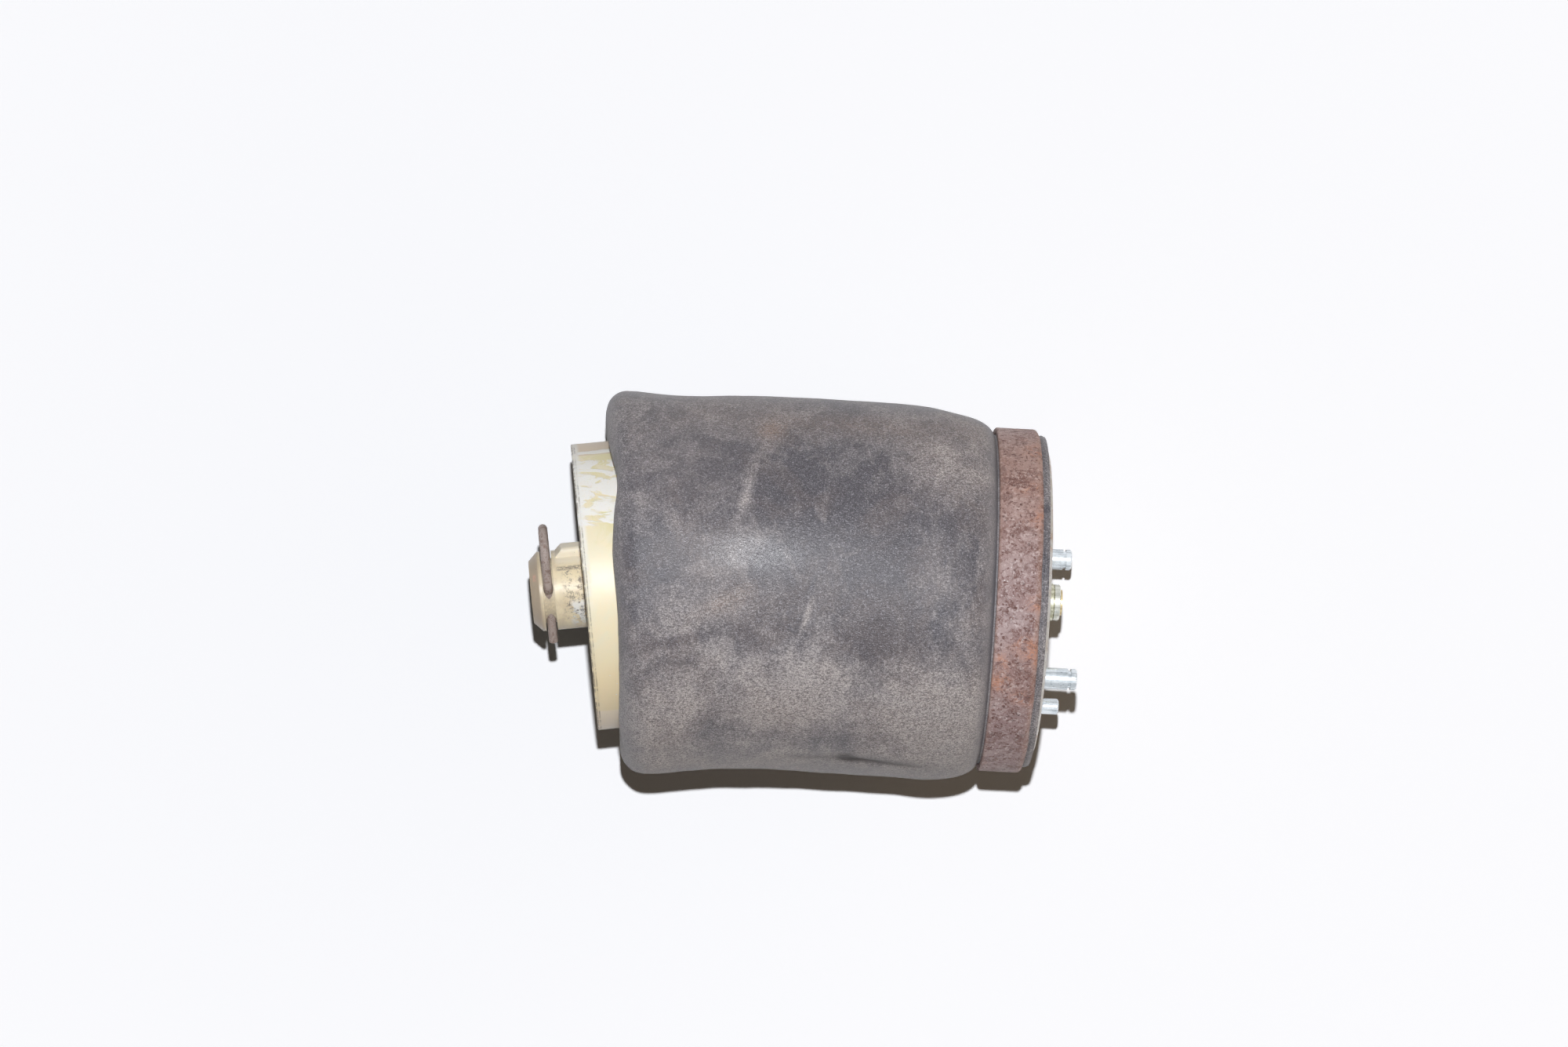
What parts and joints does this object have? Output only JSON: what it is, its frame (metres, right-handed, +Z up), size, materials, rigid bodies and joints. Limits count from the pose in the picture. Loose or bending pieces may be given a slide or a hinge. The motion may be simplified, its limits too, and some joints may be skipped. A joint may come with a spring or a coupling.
{
  "type": "air suspension spring",
  "caption": "Rolling-lobe air spring: rubber sleeve crimped to a studded steel plate, rolling over a moulded piston with a keyed nose and spring clip.",
  "frame": {"origin": "centre of the mounting plate's outer face", "axes": "+X out of the mounting face along the plate's axis, +Z up with the spring lying on its side, the piston and its nose towards -X"},
  "size_m": [0.2072, 0.145, 0.1424],
  "materials": {
    "plate_steel": "pressed sheet steel, dull zinc with dirt and first rust at the rim",
    "rusty_ring": "crimped steel band, evenly rusted brown with pits and orange specks",
    "bellows_rubber": "dusty fine-grained natural rubber with scuffs and brown road dust",
    "bright_zinc": "bright blue-white zinc plating on turned steel",
    "yellow_zinc": "pale yellow zinc plating on turned steel",
    "collet_brass": "turned brass",
    "seal_rubber": "smooth black seal rubber",
    "valve_metal": "turned stainless steel",
    "cream_nylon": "aged ivory nylon moulding with whitish road salt and small dark specks",
    "clamp_steel": "swaged steel band, dull",
    "bump_foam": "microcellular polyurethane",
    "rusty_wire": "bent spring wire, grey-brown with rust"
  },
  "bodies": {
    "upper_mount": {"top_plate": "plate_steel", "upper_crimp_ring": "rusty_ring", "locating_stud_a": "bright_zinc", "locating_stud_b": "bright_zinc", "index_pin": "bright_zinc", "weld_boss": "plate_steel", "connector_body": "yellow_zinc", "connector_seal_ring": "seal_rubber", "collet_collar": "yellow_zinc", "air_line_seal": "seal_rubber", "valve_spring": "valve_metal", "valve_retainer": "valve_metal"},
    "bellows": {"bellows": "bellows_rubber"},
    "piston": {"piston_shell": "cream_nylon", "piston_base": "cream_nylon", "locating_nose": "cream_nylon", "lower_clamp_ring": "clamp_steel", "bump_stop": "bump_foam"},
    "retaining_clip": {"retaining_clip": "rusty_wire"},
    "collet": {"collet": "collet_brass"},
    "valve_poppet": {"valve_poppet": "valve_metal"}
  },
  "joints": [
    {"name": "stroke", "type": "slide", "parent": "upper_mount", "child": "bellows", "axis": [1, 0, 0], "range_m": [-0.055, 0.04], "stiffness_N_per_m": 1500, "deforming": ["bellows"]},
    {"name": "piston_tilt", "type": "hinge", "parent": "bellows", "child": "piston", "pos_m": [-0.138, 0.0015, 0], "axis": [0, 0, 1], "range_deg": [-20.5, 3.5], "stiffness_Nm_per_rad": 5, "deforming": ["bellows"]},
    {"name": "clip_pull", "type": "slide", "parent": "piston", "child": "retaining_clip", "axis": [-0.0978, 0.861, 0.4991], "range_m": [0, 0.03]},
    {"name": "collet_press", "type": "slide", "parent": "upper_mount", "child": "collet", "axis": [-1, 0, 0], "range_m": [0, 0.0009], "stiffness_N_per_m": 200},
    {"name": "valve_lift", "type": "slide", "parent": "upper_mount", "child": "valve_poppet", "axis": [-1, 0, 0], "range_m": [0, 0.0012], "stiffness_N_per_m": 200, "deforming": ["valve_spring"]}
  ]
}
